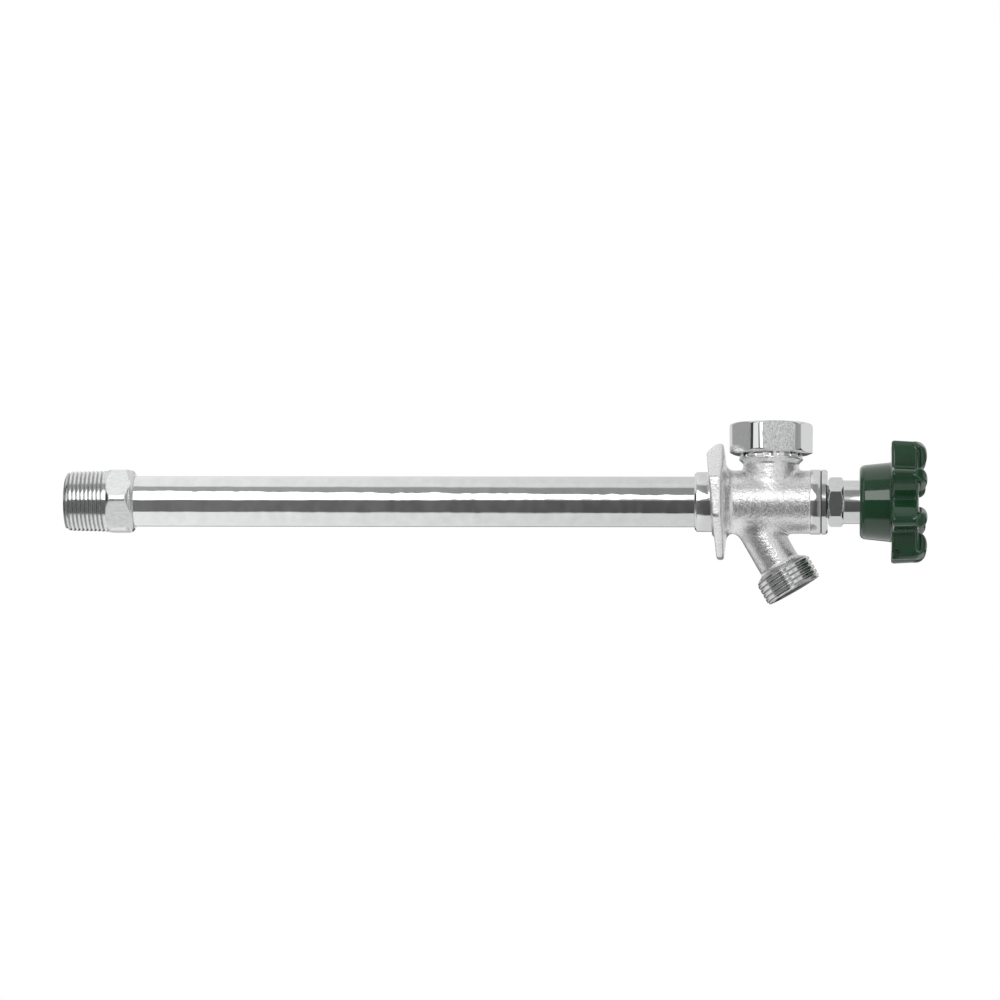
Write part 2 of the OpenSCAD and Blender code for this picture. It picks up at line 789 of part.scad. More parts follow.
module handwheel() {
    color("darkgreen") difference() {
        union() {
            cone_x(hub_x, hub_round, hub_back_d - 2 * hub_round, hub_back_d);
            cone_x(hub_x + hub_round, hub_len - hub_round + weld, hub_back_d, hub_front_d);
            along_x(wheel_x) linear_extrude(wheel_t) wheel_outline();
            along_x(wheel_x) for (i = [0 : lobes - 1])
                rotate([0, 0, 360 / lobes * i + lobe_turn])
                    translate([lobe_circle_r - finger_inset, 0, 0]) finger();
        }
        difference() {
            cone_x(wheel_end_x - dish_depth, dish_depth + cone_past, dish_d - 2 * dish_slope, dish_d);
            rod_x(wheel_end_x - dish_depth - past, boss_end_x - wheel_end_x + dish_depth + past, boss_d);
        }
        rod_x(hub_x - past, recess_len + past, recess_d);
        translate([square_x - weld, -square_af / 2 - square_room, -square_af / 2 - square_room])
            cube([wheel_t + hub_len, square_af + 2 * square_room, square_af + 2 * square_room]);
        along_x(wheel_x) translate([notch_low, -notch_side - lobe_r - past, notch_back])
            rotate([-90, 0, 0]) cylinder(h = lobe_r + past - notch_floor, r = notch_r);
    }
}

module handle_washer() {
    color("silver") ring_x(boss_end_x, handle_washer_t, handle_washer_d, screw_d + 2 * joint_gap);
}

module handle_screw() {
    head_x = boss_end_x + handle_washer_t;
    color("silver") difference() {
        union() {
            rod_x(head_x, screw_head_t - screw_head_cone, screw_head_d);
            cone_x(head_x + screw_head_t - screw_head_cone, screw_head_cone,
                screw_head_d, screw_head_d - 2.5 * screw_head_cone);
            rod_x(square_end_x - screw_len + weld, head_x - square_end_x + screw_len, screw_d);
        }
        for (turn = [0, 90])
            rotate([turn, 0, 0])
                translate([head_x + screw_head_t - screw_slot_h,
                    -screw_slot_l / 2, -screw_slot_w / 2])
                    cube([screw_slot_h + past, screw_slot_l, screw_slot_w]);
    }
}

faucet_body();
supply_tube();
inlet_fitting();
bonnet();
bonnet_gasket();
packing_washer();
packing();
packing_nut();
breaker_seat();
breaker_cap();
cap_gasket();
breaker_float();
float_seal();
washer_holder();
seat_washer();
washer_screw();
rod();
rod_guide_rings();
stem();
stem_pin();
stem_rings();
handwheel();
handle_washer();
handle_screw();
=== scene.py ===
"""Frost free sillcock: the looks of its casting, threads, chrome and dip coated handwheel.

Lengths in the formulas are millimetres, in the CAD model's frame. They become metres only when a
mesh is filled. The barrel's axis is X, up is Z, and the camera looks from -Y.
"""

import math

import bmesh
import bpy
import numpy as np
from bpy.props import FloatProperty, FloatVectorProperty, PointerProperty
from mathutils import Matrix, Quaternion, Vector


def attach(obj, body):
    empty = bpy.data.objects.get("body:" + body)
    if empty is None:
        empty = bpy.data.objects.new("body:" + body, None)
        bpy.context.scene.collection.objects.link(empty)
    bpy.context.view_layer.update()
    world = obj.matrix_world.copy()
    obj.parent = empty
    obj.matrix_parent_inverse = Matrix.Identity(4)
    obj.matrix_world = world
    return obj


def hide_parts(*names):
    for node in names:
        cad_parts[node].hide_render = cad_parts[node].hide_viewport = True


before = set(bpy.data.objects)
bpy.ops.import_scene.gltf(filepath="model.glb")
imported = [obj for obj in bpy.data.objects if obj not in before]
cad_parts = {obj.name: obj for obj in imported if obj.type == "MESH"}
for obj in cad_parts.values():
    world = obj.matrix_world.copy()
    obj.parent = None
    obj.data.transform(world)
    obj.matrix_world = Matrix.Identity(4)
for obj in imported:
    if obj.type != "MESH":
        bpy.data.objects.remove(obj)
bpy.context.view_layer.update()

bl_info = {
    "name": "Frost free sillcock",
    "version": (1, 0, 0),
    "blender": (4, 5, 0),
    "location": "3D View > Sidebar > Sillcock",
    "description": "Makes the surfaces and finishes of a frost free sillcock",
    "category": "Mesh",
}

MM = 0.001

# Lengths that several functions share, in millimetres, and angles in radians.
INLET_X = -285.0
NECK_X = 26.2
WALL_LEAN = math.radians(5.4)
SPOUT_LEAN = math.radians(30)
SPOUT_ROOT = np.array([14.0, 0.0, 0.0])
SPOUT_DIR = np.array([math.sin(SPOUT_LEAN), 0.0, -math.cos(SPOUT_LEAN)])
SPOUT_SIDE = np.array([math.cos(SPOUT_LEAN), 0.0, math.sin(SPOUT_LEAN)])
TUBE_R = 11.1
SHANK_R = 13.1
HOSE_CREST_R = 12.95
HOSE_DEPTH = 0.9
PIPE_CREST_R = 12.95
PIPE_TAPER = 1 / 40
PIPE_DEPTH = 0.85
INLET_FLATS = 27.0
CAP_FLATS = 33.8
CAP_TURN = math.radians(40.4)
NUT_FLATS = 19.2
NUT_TURN = math.radians(99)


# Meshes


def mesh_object(name, points, faces, smooth_angle=30.0, merge=0.0):
    """An object at the origin, in metres, from points in millimetres and lists of corners.

    Points no further apart than merge, in metres, become one.
    """
    mesh = bpy.data.meshes.new(name)
    mesh.from_pydata((np.asarray(points, float) * MM).tolist(), [], np.asarray(faces).tolist())
    if merge:
        merged = bmesh.new()
        merged.from_mesh(mesh)
        bmesh.ops.remove_doubles(merged, verts=merged.verts, dist=merge)
        bmesh.ops.dissolve_degenerate(merged, edges=merged.edges, dist=merge)
        merged.to_mesh(mesh)
        merged.free()
    mesh.validate()
    mesh.update()
    mesh.shade_smooth()
    mesh.set_sharp_from_angle(angle=math.radians(smooth_angle))
    piece = bpy.data.objects.new(name, mesh)
    bpy.context.scene.collection.objects.link(piece)
    return piece


def closed_shell(sections):
    """Points and quads of a ring-shaped solid: sections[i, j] is point j of section i, and both wrap."""
    rows, columns = sections.shape[:2]
    i, j = np.meshgrid(np.arange(rows), np.arange(columns), indexing="ij")
    n, k = (i + 1) % rows, (j + 1) % columns
    quads = np.stack([i * columns + j, i * columns + k, n * columns + k, n * columns + j], -1)
    return sections.reshape(-1, 3), quads.reshape(-1, 4)


def outward(points, faces):
    """The faces, turned over if the closed shape that they make has a negative volume."""
    a, b, c, d = (points[faces[:, i]] for i in range(4))
    volume = np.einsum("ij,ij->i", a, np.cross(b, c)) + np.einsum("ij,ij->i", a, np.cross(c, d))
    return faces if volume.sum() > 0 else faces[:, ::-1]


def frame_of(axis):
    """The origin and the three directions (across, side, along) of a named axis."""
    if axis == "x":
        return np.zeros(3), np.array([0.0, 0, 1]), np.array([0.0, -1, 0]), np.array([1.0, 0, 0])
    if axis == "neck":
        return np.array([NECK_X, 0, 0]), np.array([1.0, 0, 0]), np.array([0.0, 1, 0]), np.array([0.0, 0, 1])
    return SPOUT_ROOT, SPOUT_SIDE, np.array([0.0, -1, 0]), SPOUT_DIR


def place(axis, along, radius, angle):
    """Points at a distance along a named axis, at a radius and an angle round it."""
    origin, across, side, run = frame_of(axis)
    along, radius, angle = np.broadcast_arrays(along, radius, angle)
    return (
        origin
        + along[..., None] * run
        + (radius * np.cos(angle))[..., None] * across
        + (radius * np.sin(angle))[..., None] * side
    )


def turned(name, axis, profile, columns=96, smooth_angle=30.0, shape=None):
    """A closed turned ring: the profile's (along, radius) points carried round the axis.

    shape(along, radius, angle) may change the radius of each point, for flats.
    """
    profile = np.asarray(profile, float)
    angle = np.linspace(0, 2 * np.pi, columns, endpoint=False)[None, :]
    along, radius, angle = np.broadcast_arrays(profile[:, :1], profile[:, 1:], angle)
    if shape is not None:
        radius = shape(along, radius, angle)
    points, faces = closed_shell(place(axis, along, radius, angle))
    return mesh_object(name, points, outward(points, faces), smooth_angle)


def fine(profile, step=0.4):
    """The profile's closed outline with points no further apart than step along each side."""
    corners = np.asarray(profile, float)
    pieces = []
    for a, b in zip(corners, np.roll(corners, -1, axis=0)):
        count = max(1, int(np.ceil(np.linalg.norm(b - a) / step)))
        pieces.append(a + (b - a) * np.linspace(0, 1, count, endpoint=False)[:, None])
    return np.concatenate(pieces)


def rounded(profile, radius, steps=4):
    """The closed outline with each corner cut back by radius and bent round, as a quadratic curve."""
    corners = np.asarray(profile, float)
    before, after = np.roll(corners, 1, axis=0), np.roll(corners, -1, axis=0)
    reach = np.broadcast_to(np.asarray(radius, float), len(corners))
    pieces = []
    for p, a, b, r in zip(corners, before, after, reach):
        if r <= 0:
            pieces.append(p[None])
            continue
        la, lb = np.linalg.norm(a - p), np.linalg.norm(b - p)
        start, end = p + (a - p) * min(r / la, 0.45), p + (b - p) * min(r / lb, 0.45)
        t = np.linspace(0, 1, steps + 1)[:, None]
        pieces.append((1 - t) ** 2 * start + 2 * t * (1 - t) * p + t**2 * end)
    return np.concatenate(pieces)


def hexagon(angle, flats, turn, bend):
    """Radius of a hexagon, flats / 2 over the cosine, whose corners are arcs of radius bend."""
    off = np.abs((angle - turn + np.pi / 6) % (np.pi / 3) - np.pi / 6)
    half, core = flats / 2, flats / 2 - bend
    lean = np.pi / 6 - off
    reach = core / math.cos(math.pi / 6)
    arc = reach * np.cos(lean) + np.sqrt(np.clip(bend**2 - (reach * np.sin(lean)) ** 2, 0, None))
    return np.where(half * np.tan(off) <= core * math.tan(math.pi / 6), half / np.cos(off), arc)


def thread_wave(phase, crest):
    """Depth share, 0 on the crest's share of the pitch and 1 at the root, with soft flanks."""
    root = 0.94
    rise = np.clip((np.abs((phase % 1.0) - 0.5) * 2 - crest) / (root - crest), 0, 1)
    return rise**2 * (3 - 2 * rise)


def threaded(name, axis, start, end, pitch, radius_at, lining, columns=144, per_pitch=18):
    """A closed threaded ring whose rows follow the helix: along = row + pitch * angle / turn.

    Rows are held between start and end, radius_at(along, angle) gives the outer radius, and the
    lining's (along, radius) rings lead from the end through the bore back to the start. Points
    that fall together are merged.
    """
    angle = np.linspace(0, 2 * np.pi, columns + 1)[None, :]
    rows = np.arange(start - pitch, end + pitch / per_pitch, pitch / per_pitch)[:, None]
    along = np.clip(rows + pitch * angle / (2 * np.pi), start, end)
    outer = place(axis, along, radius_at(along, angle), angle)
    ends = np.array([[end], [start]])
    edges = place(axis, ends, radius_at(ends, angle), angle)
    lining = np.asarray(lining, float)
    bore = place(axis, lining[:, :1], lining[:, 1:], angle)
    inner = np.concatenate([edges[:1], bore, edges[1:]])
    count = columns + 1
    points = np.concatenate([outer.reshape(-1, 3), inner.reshape(-1, 3)])
    faces = []
    for rows_here, first in ((len(outer), 0), (len(inner), len(outer) * count)):
        i, j = np.meshgrid(np.arange(rows_here - 1), np.arange(columns), indexing="ij")
        k = first + i * count + j
        faces.append(np.stack([k, k + 1, k + 1 + count, k + count], -1).reshape(-1, 4))
    faces = np.concatenate(faces)
    return mesh_object(name, points, outward(points, faces), 50, merge=2e-7)


# Blended casting


def smooth_min(a, b, k):
    """The lesser of two distances, with a fillet of about k where they meet."""
    h = np.clip(k - np.abs(a - b), 0, None) / k
    return np.minimum(a, b) - h * h * k / 4


def smooth_max(a, b, k):
    """The greater of two distances, with an edge rounded by about k."""
    return -smooth_min(-a, -b, k)


def rod_field(along, radial, start, end, radius, edge=0.6):
    """Distance to a round bar from start to end, with rounded ends."""
    return smooth_max(radial - radius, np.maximum(start - along, along - end), edge)


def casting_field(p):
    """Distance to the casting: flange, barrel, neck and spout blended, less bores and screw holes.

    The flange is an octagon. Its back leans with the wall, a slant cuts its top, and its front
    rises towards the barrel. The neck's lip and the spout's mouth widen as a power of the length.
    """
    x, y, z = p[..., 0], p[..., 1], p[..., 2]
    axis_r = np.hypot(y, z)
    neck_r = np.hypot(x - NECK_X, y)
    rel = p - SPOUT_ROOT
    along = rel @ SPOUT_DIR
    spout_r = np.sqrt(np.clip((rel * rel).sum(-1) - along**2, 0, None))

    half_h, half_w, flat_h, flat_w = 25.0, 30.0, 8.9, 9.0
    outline = np.maximum(np.abs(z) - half_h, np.abs(y) - half_w)
    run, rise = half_w - flat_w, half_h - flat_h
    corner = (np.abs(z) * run + np.abs(y) * rise - (half_h * run + flat_w * rise)) / math.hypot(run, rise)
    outline = smooth_max(outline, corner, 1.2)
    wall = -(x * math.cos(WALL_LEAN) + z * math.sin(WALL_LEAN))
    slant_x, slant_run, slant_rise = 2.24, 4.17, 4.6
    slant = ((z - half_h) * slant_run - (x - slant_x) * slant_rise) / math.hypot(slant_run, slant_rise)
    edge_x, swell, swell_r, swell_run = 5.0, 1.8, 29.3, 14.65
    front = x - edge_x - swell * np.clip((swell_r - axis_r) / swell_run, 0, 1)
    plate = smooth_max(smooth_max(outline, smooth_max(wall, slant, 0.8), 1.2), front, 1.3)

    barrel_end, barrel_r = 43.6, 13.85
    barrel = rod_field(x, axis_r, 1.0, barrel_end, barrel_r, 0.2)
    neck_top, neck_out, lip_start, lip_run, lip_out = 19.4, 12.3, 16.4, 2.0, 1.75
    lip = neck_out + lip_out * np.clip((z - lip_start) / lip_run, 0, 1) ** 1.5
    neck = rod_field(z, neck_r, 0.0, neck_top, lip, 0.3)
    spout_end, spout_out, mouth_start, mouth_run, mouth_out = 34.8, 9.15, 31.4, 3.4, 2.9
    mouth = spout_out + mouth_out * np.clip((along - mouth_start) / mouth_run, 0, 1) ** 1.6
    spout = rod_field(along, spout_r, 0.0, spout_end, mouth, 1.5)
    solid = smooth_min(barrel, plate, 3.4)
    solid = smooth_min(solid, neck, 1.6)
    solid = smooth_min(solid, spout, 3.0)

    socket_r, bore_r, bonnet_r, water_r, chamber_r = 11.15, 10.0, 11.0, 6.5, 9.7
    socket = np.maximum(axis_r - socket_r, np.maximum(x - 2.0, -x - 20))
    barrel_bore = np.maximum(axis_r - bore_r, 1.9 - x)
    bonnet_bore = np.maximum(axis_r - bonnet_r, 36.9 - x)
    neck_bore = np.maximum(neck_r - water_r, -z)
    chamber = np.maximum(neck_r - chamber_r, 14.6 - z)
    spout_bore = np.maximum(spout_r - water_r, -along)
    screw_y, screw_r = 21.5, 2.8
    screw_holes = np.hypot(np.abs(y) - screw_y, z) - screw_r
    bores = np.minimum.reduce(
        [socket, barrel_bore, bonnet_bore, neck_bore, chamber, spout_bore, screw_holes]
    )
    return np.maximum(solid, -bores)


def wheel_field(p):
    """Distance to the handwheel: a conical hub, a waved rim and eight long domes under one coat.

    The rim's radius is rim_r + wave_h (cos 8a + cos 24a / 20), less a draft towards the front. A
    dome is the part that a bar along the radius, bar_r in radius, shares with one across it,
    cross_r in radius.
    """
    x, y, z = p[..., 0], p[..., 1], p[..., 2]
    r = np.hypot(y, z)
    fingers, offset = 8, np.pi / 8
    angle = np.arctan2(y, z) - offset

    rim_r, wave_h, rim_x, rim_half = 24.35, 3.76, 84.6, 5.8
    draft_x, draft_run, draft = 79, 12, 0.06
    wave = fingers * angle
    edge_r = rim_r + wave_h * (np.cos(wave) + 0.05 * np.cos(3 * wave))
    edge_r -= draft * np.clip(x - draft_x, 0, draft_run)
    slope = -wave_h * fingers * (np.sin(wave) + 0.15 * np.sin(3 * wave))
    rim = (r - edge_r) / np.sqrt(1 + (slope / np.clip(r, 5, None)) ** 2)
    rim = smooth_max(rim, np.abs(x - rim_x) - rim_half, 1.5)

    dome_r, cross_x, cross_r, bar_x, bar_r = 21.4, 88.75, 6.05, 91.5, 3.3
    pitch = 2 * np.pi / fingers
    off = angle - pitch * np.round(angle / pitch)
    across, out = r * np.sin(off), r * np.cos(off) - dome_r
    dome = smooth_max(np.hypot(x - cross_x, out) - cross_r, np.hypot(x - bar_x, across) - bar_r, 1.6)
    dome = np.maximum(dome, 86.5 - x)

    hub_x, hub_r, hub_grow, hub_run = 64.9, 16.05, 1.45, 13.9
    hub = smooth_max(r - (hub_r + hub_grow * (x - hub_x) / hub_run), np.maximum(hub_x - x, x - 82), 2.6)
    solid = smooth_min(smooth_min(rim, dome, 0.8), hub, 0.9)

    floor_x, dish_r, dish_grow = 86.2, 13.5, 0.36
    dish = np.maximum(r - (dish_r + dish_grow * (x - floor_x)), floor_x - x)
    boss_r, boss_x = 6.5, 87.0
    boss = np.maximum(r - boss_r, x - boss_x)
    dish = smooth_max(dish, -boss, 0.8)
    notch_x, notch_y, notch_z, notch_r = 80.7, -10.5, -23.56, 1.9
    notch = np.maximum(np.hypot(x - notch_x, z - notch_z) - notch_r, y - notch_y)
    recess_r, recess_x, square_half = 10.3, 69.5, 3.28
    recess = np.maximum(r - recess_r, x - recess_x)
    square = np.maximum(np.abs(y), np.abs(z)) - square_half
    solid = smooth_max(smooth_max(solid, -dish, 1.4), -notch, 0.5)
    return np.maximum(solid, -np.minimum(recess, square))


def gradient(field, points, probe=0.05):
    """Slope of a field at each point, from differences along the three axes."""
    steps = probe * np.eye(3)
    return np.stack([(field(points + step) - field(points - step)) / (2 * probe) for step in steps], -1)


def surface_net(field, low, high, step, passes=3):
    """Quads of the surface where a field of distances is nought, over a box.

    Each grid cell that the surface crosses gets one point, the mean of its edges' crossings, and
    each crossed grid edge joins the points of its four cells. The points then slide along the
    field's gradient on to the surface.
    """
    axes = [np.arange(lo, hi + step, step) for lo, hi in zip(low, high)]
    grid = np.stack(np.meshgrid(*axes, indexing="ij"), -1)
    value = field(grid)
    inside = value < 0
    shape = np.array(value.shape) - 1
    total, count = np.zeros((*shape, 3)), np.zeros(shape)
    corners = [(a, b, c) for a in (0, 1) for b in (0, 1) for c in (0, 1)]

    def cut(array, corner):
        return array[tuple(slice(o, o + n) for o, n in zip(corner, shape))]

    for a in corners:
        for axis in range(3):
            if a[axis]:
                continue
            b = tuple(1 if i == axis else o for i, o in enumerate(a))
            va, vb = cut(value, a), cut(value, b)
            crossed = (va < 0) != (vb < 0)
            share = np.where(crossed, va / np.where(crossed, va - vb, 1), 0)
            point = cut(grid, a) + share[..., None] * (cut(grid, b) - cut(grid, a))
            total += np.where(crossed[..., None], point, 0)
            count += crossed
    used = count > 0
    index = np.full(shape, -1)
    index[used] = np.arange(used.sum())
    points = total[used] / count[used][:, None]
    quads = []
    for axis in range(3):
        u, v = [i for i in range(3) if i != axis]
        near = tuple(slice(0, -1) if i == axis else slice(1, -1) for i in range(3))
        far = tuple(slice(1, None) if i == axis else slice(1, -1) for i in range(3))
        flip = inside[near] != inside[far]
        cell = np.argwhere(flip)
        cell[:, u] += 1
        cell[:, v] += 1
        ring = []
        for du, dv in ((1, 1), (0, 1), (0, 0), (1, 0)):
            at = cell.copy()
            at[:, u] -= du
            at[:, v] -= dv
            ring.append(index[at[:, 0], at[:, 1], at[:, 2]])
        quad = np.stack(ring, -1)
        outside_first = ~inside[near][flip]
        if axis == 1:
            outside_first = ~outside_first
        quad[outside_first] = quad[outside_first][:, ::-1]
        quads.append(quad)
    least_squared, longest = 0.25, 0.35 * step
    for _ in range(passes):
        slope = gradient(field, points)
        squared = np.clip((slope**2).sum(-1), least_squared, None)
        move = -(field(points) / squared)[:, None] * slope
        length = np.linalg.norm(move, axis=1)
        move *= np.minimum(1, longest / np.clip(length, 1e-9, None))[:, None]
        points = points + move
    return points, np.concatenate(quads)


# Materials


class Graph:
    """A short way to add and join the nodes of one tree."""

    def __init__(self, tree):
        self.tree = tree
        self.tree.nodes.clear()

    def add(self, kind, **settings):
        """A new node with its settings."""
        node = self.tree.nodes.new(kind)
        for key, value in settings.items():
            setattr(node, key, value)
        return node

    def link(self, source, target):
        self.tree.links.new(source, target)

    def feed(self, socket, value):
        """Gives a socket a number, a grey, a colour, or another node's output."""
        if isinstance(value, bpy.types.NodeSocket):
            self.link(value, socket)
        elif not isinstance(value, (int, float)):
            socket.default_value = (*value[:3], 1)
        elif socket.type == "RGBA":
            socket.default_value = (value, value, value, 1)
        else:
            socket.default_value = value

    def ramp(self, value, *stops):
        """A colour ramp from (place, grey or colour) stops, which come in rising order."""
        node = self.add("ShaderNodeValToRGB")
        elements = node.color_ramp.elements
        while len(elements) > 1:
            elements.remove(elements[-1])
        for i, (spot, shade) in enumerate(stops):
            element = elements[0] if i == 0 else elements.new(spot)
            element.position = spot
            rgb = (shade,) * 3 if isinstance(shade, (int, float)) else tuple(shade)
            element.color = (*rgb, 1)
        self.link(value, node.inputs["Fac"])
        return node.outputs["Color"]

    def math(self, operation, *values, clamp=False):
        """The result of a sum on numbers or sockets."""
        node = self.add("ShaderNodeMath", operation=operation, use_clamp=clamp)
        for socket, value in zip(node.inputs, values):
            self.feed(socket, value)
        return node.outputs["Value"]

    def times(self, a, b):
        return self.math("MULTIPLY", a, b)

    def mix(self, share, a, b):
        """A colour between a and b, each a grey, a colour or a socket."""
        node = self.add("ShaderNodeMix", data_type="RGBA")
        for socket, value in ((node.inputs[0], share), (node.inputs[6], a), (node.inputs[7], b)):
            self.feed(socket, value)
        return node.outputs[2]


class Surface(Graph):
    """The nodes of one material, on the object's own coordinates."""

    def __init__(self, name):
        self.material = bpy.data.materials.get(name) or bpy.data.materials.new(name)
        self.material.use_nodes = True
        super().__init__(self.material.node_tree)
        output = self.add("ShaderNodeOutputMaterial")
        self.shader = self.add("ShaderNodeBsdfPrincipled")
        self.link(self.shader.outputs["BSDF"], output.inputs["Surface"])
        self.place = self.add("ShaderNodeTexCoord").outputs["Object"]

    def set(self, **values):
        """Feeds the shader's sockets, named with _ for a space."""
        for key, value in values.items():
            self.feed(self.shader.inputs[key.replace("_", " ")], value)

    def noise(self, scale, detail=3.0, rough=0.55, stretch=(1, 1, 1)):
        """Noise of a scale in cycles a metre, stretched along the axes."""
        mapping = self.add("ShaderNodeMapping")
        mapping.inputs["Scale"].default_value = stretch
        self.link(self.place, mapping.inputs["Vector"])
        node = self.add("ShaderNodeTexNoise")
        node.inputs["Scale"].default_value = scale
        node.inputs["Detail"].default_value = detail
        node.inputs["Roughness"].default_value = rough
        self.link(mapping.outputs["Vector"], node.inputs["Vector"])
        return node.outputs["Fac"]

    def shift(self, origin):
        """The place, counted from an origin in millimetres."""
        node = self.add("ShaderNodeVectorMath", operation="SUBTRACT")
        self.link(self.place, node.inputs[0])
        node.inputs[1].default_value = tuple(np.asarray(origin, float) * MM)
        return node.outputs["Vector"]

    def along(self, spot, direction):
        """Length of a spot along a direction."""
        node = self.add("ShaderNodeVectorMath", operation="DOT_PRODUCT")
        self.link(spot, node.inputs[0])
        node.inputs[1].default_value = tuple(direction)
        return node.outputs["Value"]

    def facets(self, spot, normals):
        """A spot's distance along each of a hexagon's three normals, and the greatest of them."""
        reach = [self.math("ABSOLUTE", self.along(spot, normal)) for normal in normals]
        return reach, self.math("MAXIMUM", self.math("MAXIMUM", reach[0], reach[1]), reach[2])

    def shaded(self, share, colour, dark, pale=1.0):
        """The colour between two shades of itself, dark at 0 and pale at 1."""
        return self.mix(share, tuple(c * dark for c in colour), tuple(min(1, c * pale) for c in colour))

    def worn(self, tool, rough, least, most):
        """Sets a roughness from least to most times rough, by the share of tool marks."""
        node = self.add("ShaderNodeMapRange")
        node.inputs["To Min"].default_value = rough * least
        node.inputs["To Max"].default_value = rough * most
        self.link(tool, node.inputs["Value"])
        self.set(Roughness=node.outputs["Result"])

    def bump(self, height, distance, strength=1.0, under=None):
        """Bumps of a distance in metres, over those under them."""
        node = self.add("ShaderNodeBump")
        node.inputs["Distance"].default_value = distance
        node.inputs["Strength"].default_value = strength
        self.link(height, node.inputs["Height"])
        if under is not None:
            self.link(under, node.inputs["Normal"])
        self.link(node.outputs["Normal"], self.shader.inputs["Normal"])
        return node.outputs["Normal"]


def polished_chrome(name, tint, rough=0.05, drawn=(1, 1, 1)):
    """Bright plating: nearly a mirror, with faint drawing lines and slow ripples."""
    g = Surface(name)
    ripple = g.noise(60, 2, 0.5)
    lines = g.noise(900, 4, 0.6, drawn)
    haze = g.noise(240, 3, 0.6)
    g.set(Metallic=1.0, Base_Color=g.shaded(g.ramp(haze, (0.35, 1.0), (0.7, 0.0)), tint, 0.93))
    g.worn(lines, rough, 0.6, 1.7)
    first = g.bump(ripple, 0.0006, 0.35)
    g.bump(lines, 0.00002, 0.3, first)
    return g.material


def cast_plating(name, tint):
    """Satin plating over a sand casting: pits, grains and slow waves under a soft sheen."""
    g = Surface(name)
    sand = g.noise(1150, 4, 0.72)
    coarse = g.noise(480, 4, 0.65)
    waves = g.noise(90, 2, 0.5)
    fleck = g.ramp(g.noise(1500, 3, 0.75), (0.34, 0.0), (0.48, 1.0))
    g.set(Metallic=1.0, Base_Color=g.shaded(fleck, tint, 0.72, 1.06))
    g.set(Roughness=g.ramp(coarse, (0.3, 0.14), (0.7, 0.3)))
    first = g.bump(waves, 0.0008, 0.3)
    second = g.bump(coarse, 0.00028, 0.75, first)
    g.bump(sand, 0.00016, 0.75, second)
    return g.material


def dip_coat(name, colour):
    """Thick glossy coating: slow sags under a clear, smooth skin."""
    g = Surface(name)
    sag = g.noise(70, 2, 0.45)
    cloud = g.noise(130, 3, 0.5)
    g.set(
        Base_Color=g.shaded(g.ramp(cloud, (0.3, 1.0), (0.7, 0.0)), colour, 0.82),
        Roughness=0.07,
        IOR=1.3,
        Coat_Weight=1.0,
        Coat_Roughness=0.03,
    )
    g.bump(sag, 0.0008, 0.15)
    return g.material


def thread_plating_painted_root_shade(name, tint, axis, crest, taper, depth):
    """Bright plating with a painted shade that darkens it into the roots of a thread on a cone about a named
    axis.

    The painted shade follows crest radius + taper * along - distance from the axis, as a share of depth.
    """
    g = Surface(name)
    origin, _, _, run = frame_of(axis)
    spot = g.shift(origin)
    along = g.along(spot, run)
    size = g.add("ShaderNodeVectorMath", operation="LENGTH")
    g.link(spot, size.inputs[0])
    squared = g.times(size.outputs["Value"], size.outputs["Value"])
    off = g.math("SQRT", g.math("SUBTRACT", squared, g.times(along, along)))
    deep = g.math("SUBTRACT", g.math("MULTIPLY_ADD", along, taper, crest * MM), off)
    deep = g.math("DIVIDE", deep, 4 * depth * MM)
    # Painted shade: the colour falls from the tint to a tenth of it with the depth into the thread's roots.
    share = g.ramp(deep, (0.04, 1.0), (0.14, 0.8), (0.25, 0.62), (0.6, 0.6), (1.0, 0.06))
    wear = g.noise(700, 3, 0.6)
    pale = g.shaded(g.ramp(wear, (0.35, 1.0), (0.65, 0.0)), tint, 0.86)
    # The base colour takes the painted root shade here, on top of the wear tone.
    g.set(Metallic=1.0, Base_Color=g.mix(share, tuple(c * 0.1 for c in tint), pale))
    g.set(Roughness=g.ramp(wear, (0.3, 0.05), (0.7, 0.16)))
    g.bump(wear, 0.00003, 0.3)
    return g.material


def forged_plating(name, tint):
    """Plating over the forged cap: bright where it is turned or bent, clouded on its facets.

    A facet is where the place reaches half the flats along one of the hexagon's three normals.
    The second normal's facets keep the forging's rough skin.
    """
    g = Surface(name)
    spot = g.shift((NECK_X, 0, 0))
    turns = [CAP_TURN + math.radians(60 * k) for k in range(3)]
    reach, most = g.facets(spot, [(math.cos(turn), math.sin(turn), 0) for turn in turns])
    scale = 1 / (CAP_FLATS * MM)
    on = g.ramp(g.times(most, scale), (0.497, 0.0), (0.4992, 1.0))
    rough = g.ramp(g.times(reach[1], scale), (0.47, 0.2), (0.495, 1.0))
    flat_grain = (1, 1, 0.6)
    skin = g.times(g.noise(480, 5, 0.75, flat_grain), g.ramp(g.noise(150, 3, 0.6), (0.42, 0.2), (0.6, 1.0)))
    skin = g.times(skin, rough)
    pits = g.times(g.noise(1500, 3, 0.7, flat_grain), rough)
    cloud = g.noise(120, 3, 0.6)
    clean = g.ramp(pits, (0.12, 1.0), (0.25, 1.0), (0.32, 0.0), (0.55, 1.0))
    g.set(Metallic=1.0, Base_Color=g.mix(on, tint, g.shaded(clean, tint, 0.55, 0.95)))
    g.set(Roughness=g.mix(on, 0.035, g.ramp(cloud, (0.3, 0.08), (0.7, 0.2))))
    first = g.bump(g.times(skin, on), 0.00026, 0.8)
    g.bump(g.times(pits, on), 0.00007, 0.7, first)
    return g.material


